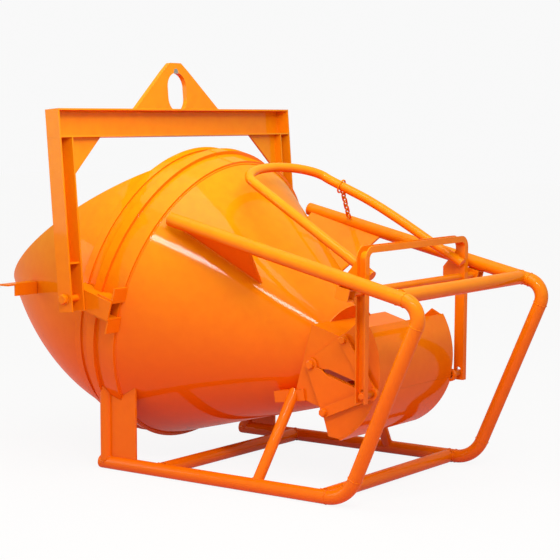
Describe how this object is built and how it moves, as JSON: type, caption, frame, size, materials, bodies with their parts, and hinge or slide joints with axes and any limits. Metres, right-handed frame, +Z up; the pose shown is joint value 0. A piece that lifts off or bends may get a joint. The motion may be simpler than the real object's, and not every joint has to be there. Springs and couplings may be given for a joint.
{
  "type": "lay-down concrete bucket",
  "caption": "Orange lay-down concrete bucket in a tube frame, with a lifting yoke, a two-jaw discharge gate and the hand hoop that opens it.",
  "frame": {"origin": "on the ground under the middle of the object, halfway along its length and its width", "axes": "+X to the discharge gate along the bottom rails, +Y to the bucket's left side, +Z up"},
  "size_m": [2.5723, 1.732, 1.8459],
  "materials": {
    "orange_paint": "satin"
  },
  "bodies": {
    "bucket": {"belt": "orange_paint", "rear_shell": "orange_paint", "mouth_rim": "orange_paint", "front_cone": "orange_paint", "outlet_box": "orange_paint", "gate_pins": "orange_paint", "skid_left": "orange_paint", "skid_right": "orange_paint", "foot_bend_left": "orange_paint", "foot_bend_right": "orange_paint", "leg_left": "orange_paint", "leg_right": "orange_paint", "top_elbow_left": "orange_paint", "top_elbow_right": "orange_paint", "top_rail_left": "orange_paint", "top_rail_right": "orange_paint", "rear_cross": "orange_paint", "front_bar": "orange_paint", "top_bar": "orange_paint", "post_left": "orange_paint", "post_right": "orange_paint", "saddle_left": "orange_paint", "saddle_right": "orange_paint", "strut_left": "orange_paint", "strut_right": "orange_paint", "strut_pads": "orange_paint", "gusset_left": "orange_paint", "gusset_right": "orange_paint", "arm_left": "orange_paint", "arm_right": "orange_paint", "arm_ties": "orange_paint", "yoke_pins": "orange_paint", "yoke_stops": "orange_paint", "socket_left": "orange_paint", "socket_right": "orange_paint", "fulcrum_shaft": "orange_paint"},
    "yoke": {"yoke_leg_left": "orange_paint", "yoke_leg_right": "orange_paint", "yoke_beam": "orange_paint", "yoke_braces": "orange_paint", "yoke_stays": "orange_paint", "lifting_lug": "orange_paint"},
    "lever": {"lever_bail": "orange_paint", "lever_stays": "orange_paint", "hoop": "orange_paint"},
    "upper_jaw": {"upper_jaw_shell": "orange_paint", "upper_jaw_sides": "orange_paint", "upper_link_pins": "orange_paint"},
    "lower_jaw": {"lower_jaw_shell": "orange_paint", "lower_jaw_sides": "orange_paint", "lower_link_pins": "orange_paint"},
    "upper_link": {"upper_links": "orange_paint"},
    "lower_link": {"lower_links": "orange_paint"},
    "knee": {"knee_pins": "orange_paint"},
    "safety_chain": {"chain": "orange_paint", "chain_ring": "orange_paint", "chain_hook": "orange_paint"}
  },
  "joints": [
    {"name": "yoke_swing", "type": "hinge", "parent": "bucket", "child": "yoke", "pos_m": [-0.33748, 0, 0.80521], "axis": [0, 1, 0], "range_deg": [-75, 18]},
    {"name": "lever_pull", "type": "hinge", "parent": "bucket", "child": "lever", "pos_m": [0.9176, 0, 0.87922], "axis": [0, 1, 0], "range_deg": [0, 21.85]},
    {"name": "upper_jaw_open", "type": "hinge", "parent": "bucket", "child": "upper_jaw", "pos_m": [0.58999, 0, 0.5351], "axis": [0, -1, 0], "range_deg": [0, 33.13]},
    {"name": "lower_jaw_open", "type": "hinge", "parent": "bucket", "child": "lower_jaw", "pos_m": [0.58999, 0, 0.5351], "axis": [0, 1, 0], "range_deg": [0, 33.13]},
    {"name": "upper_link_turn", "type": "hinge", "parent": "upper_jaw", "child": "upper_link", "pos_m": [0.76365, 0, 0.6567], "axis": [0, 1, 0], "range_deg": [0, 49.71]},
    {"name": "lower_link_turn", "type": "hinge", "parent": "lower_jaw", "child": "lower_link", "pos_m": [0.67283, 0, 0.33995], "axis": [0, -1, 0], "range_deg": [0, 49.71]},
    {"name": "knee_slide", "type": "slide", "parent": "bucket", "child": "knee", "axis": [-0.9613, 0, 0.2756], "range_m": [0, 0.16476]},
    {"name": "chain_lift", "type": "hinge", "parent": "lever", "child": "safety_chain", "pos_m": [0.33364, 0.30124, 1.2759], "axis": [-0.8781, -0.2096, 0.43], "range_deg": [-40, 0]}
  ],
  "couplings": [
    {"joint": "upper_jaw_open", "follows": "lever_pull", "ratio": 1.5158},
    {"joint": "lower_jaw_open", "follows": "lever_pull", "ratio": 1.5158},
    {"joint": "upper_link_turn", "follows": "lever_pull", "ratio": 2.2744},
    {"joint": "lower_link_turn", "follows": "lever_pull", "ratio": 2.2744},
    {"joint": "knee_slide", "follows": "lever_pull", "m_per_rad": 0.43196}
  ]
}
